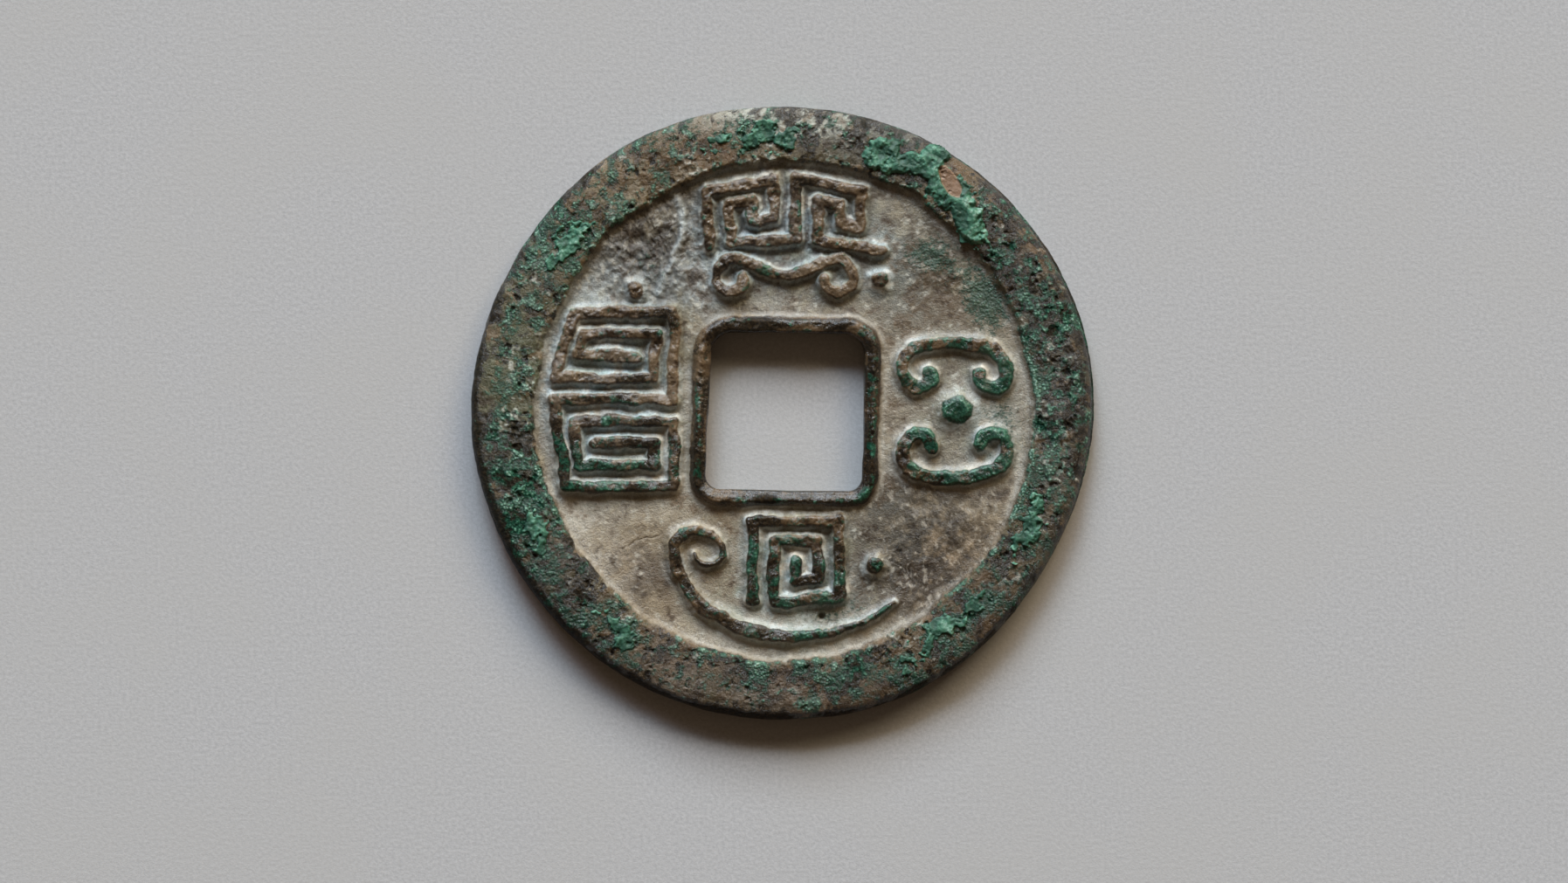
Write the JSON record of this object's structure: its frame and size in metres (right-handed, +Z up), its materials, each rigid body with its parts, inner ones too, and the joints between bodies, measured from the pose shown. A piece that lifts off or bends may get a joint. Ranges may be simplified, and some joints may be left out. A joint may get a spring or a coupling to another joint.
{
  "type": "chinese cash coin",
  "caption": "Round cast bronze coin with a square hole for stringing, raised rims round edge and hole, raised fret and cloud ornament on one face, and green malachite crust.",
  "frame": {"origin": "the coin's centre at its lowest face, which is the reverse rim it rests on", "axes": "+Z up out of the obverse, the decorated face; +Y to the top of the design; +X to its right"},
  "size_m": [0.0292, 0.0288, 0.0018],
  "materials": {
    "bronze_field": "earth-toned matt patina over cast bronze",
    "bronze_rim": "dark olive patina with green specks over cast bronze",
    "bronze_relief": "dark brown and green patina over cast bronze",
    "malachite_crust": "rough green copper mineral"
  },
  "bodies": {
    "root": {"outer_rim": "bronze_rim", "inner_rim": "bronze_rim", "field_plate": "bronze_field", "top_fret": "bronze_relief", "top_cloud": "bronze_relief", "top_pearl": "bronze_relief", "left_fret": "bronze_relief", "left_pearl": "bronze_relief", "right_upper_scroll": "bronze_relief", "right_lower_scroll": "bronze_relief", "right_pearl": "bronze_relief", "bottom_fret": "bronze_relief", "bottom_cloud": "bronze_relief", "bottom_pearl": "bronze_relief", "malachite_crust_1": "malachite_crust", "malachite_crust_2": "malachite_crust", "malachite_crust_3": "malachite_crust", "malachite_crust_4": "malachite_crust", "malachite_crust_5": "malachite_crust", "malachite_crust_6": "malachite_crust", "malachite_crust_7": "malachite_crust"}
  },
  "joints": []
}
